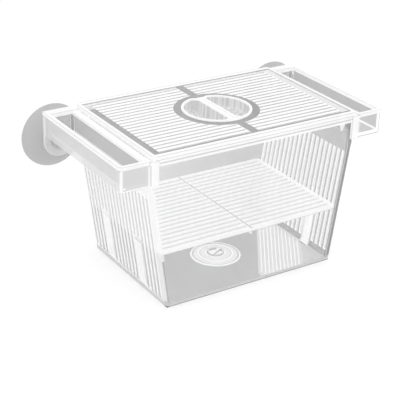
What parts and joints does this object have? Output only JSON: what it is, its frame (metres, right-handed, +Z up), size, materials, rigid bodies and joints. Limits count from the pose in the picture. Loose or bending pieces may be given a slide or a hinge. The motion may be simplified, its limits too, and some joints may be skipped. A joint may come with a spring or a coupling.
{
  "type": "fish breeding box",
  "caption": "Clear slotted tank that hangs inside an aquarium on two side wings with suction cups, with a grille lid, a slotted tray and a floor plug.",
  "frame": {"origin": "centre of the tank's flat underside", "axes": "+X along the width, towards the right-hand wing; +Y towards the aquarium glass that the suction cups grip; +Z up"},
  "size_m": [0.223, 0.1155, 0.1097],
  "materials": {
    "clear_plastic": "clear moulded plastic, polished",
    "soft_plastic": "soft translucent plastic, slightly smoky"
  },
  "bodies": {
    "tank": {"tank_body": "clear_plastic"},
    "lid_body": {"lid": "clear_plastic"},
    "tray": {"slotted_tray": "clear_plastic"},
    "plug": {"floor_plug": "clear_plastic"},
    "wing_left": {"left_wing": "clear_plastic"},
    "wing_right": {"right_wing": "clear_plastic"},
    "cup_left": {"left_suction_cup": "soft_plastic"},
    "cup_right": {"right_suction_cup": "soft_plastic"}
  },
  "joints": [
    {"name": "lid_lift", "type": "slide", "parent": "tank", "child": "lid_body", "axis": [0, 0, 1], "range_m": [0, 0.06]},
    {"name": "tray_lift", "type": "slide", "parent": "tank", "child": "tray", "axis": [0, 0, 1], "range_m": [0, 0.05]},
    {"name": "plug_pull", "type": "slide", "parent": "tank", "child": "plug", "axis": [0, 0, 1], "range_m": [0, 0.025]},
    {"name": "left_wing_slide", "type": "slide", "parent": "tank", "child": "wing_left", "axis": [-1, 0, 0], "range_m": [0, 0.03]},
    {"name": "right_wing_slide", "type": "slide", "parent": "tank", "child": "wing_right", "axis": [1, 0, 0], "range_m": [0, 0.03]},
    {"name": "left_cup_turn", "type": "hinge", "parent": "wing_left", "child": "cup_left", "pos_m": [-0.0895, 0.053, 0.0855], "axis": [0, 1, 0], "continuous": true},
    {"name": "right_cup_turn", "type": "hinge", "parent": "wing_right", "child": "cup_right", "pos_m": [0.0895, 0.053, 0.0855], "axis": [0, 1, 0], "continuous": true}
  ]
}
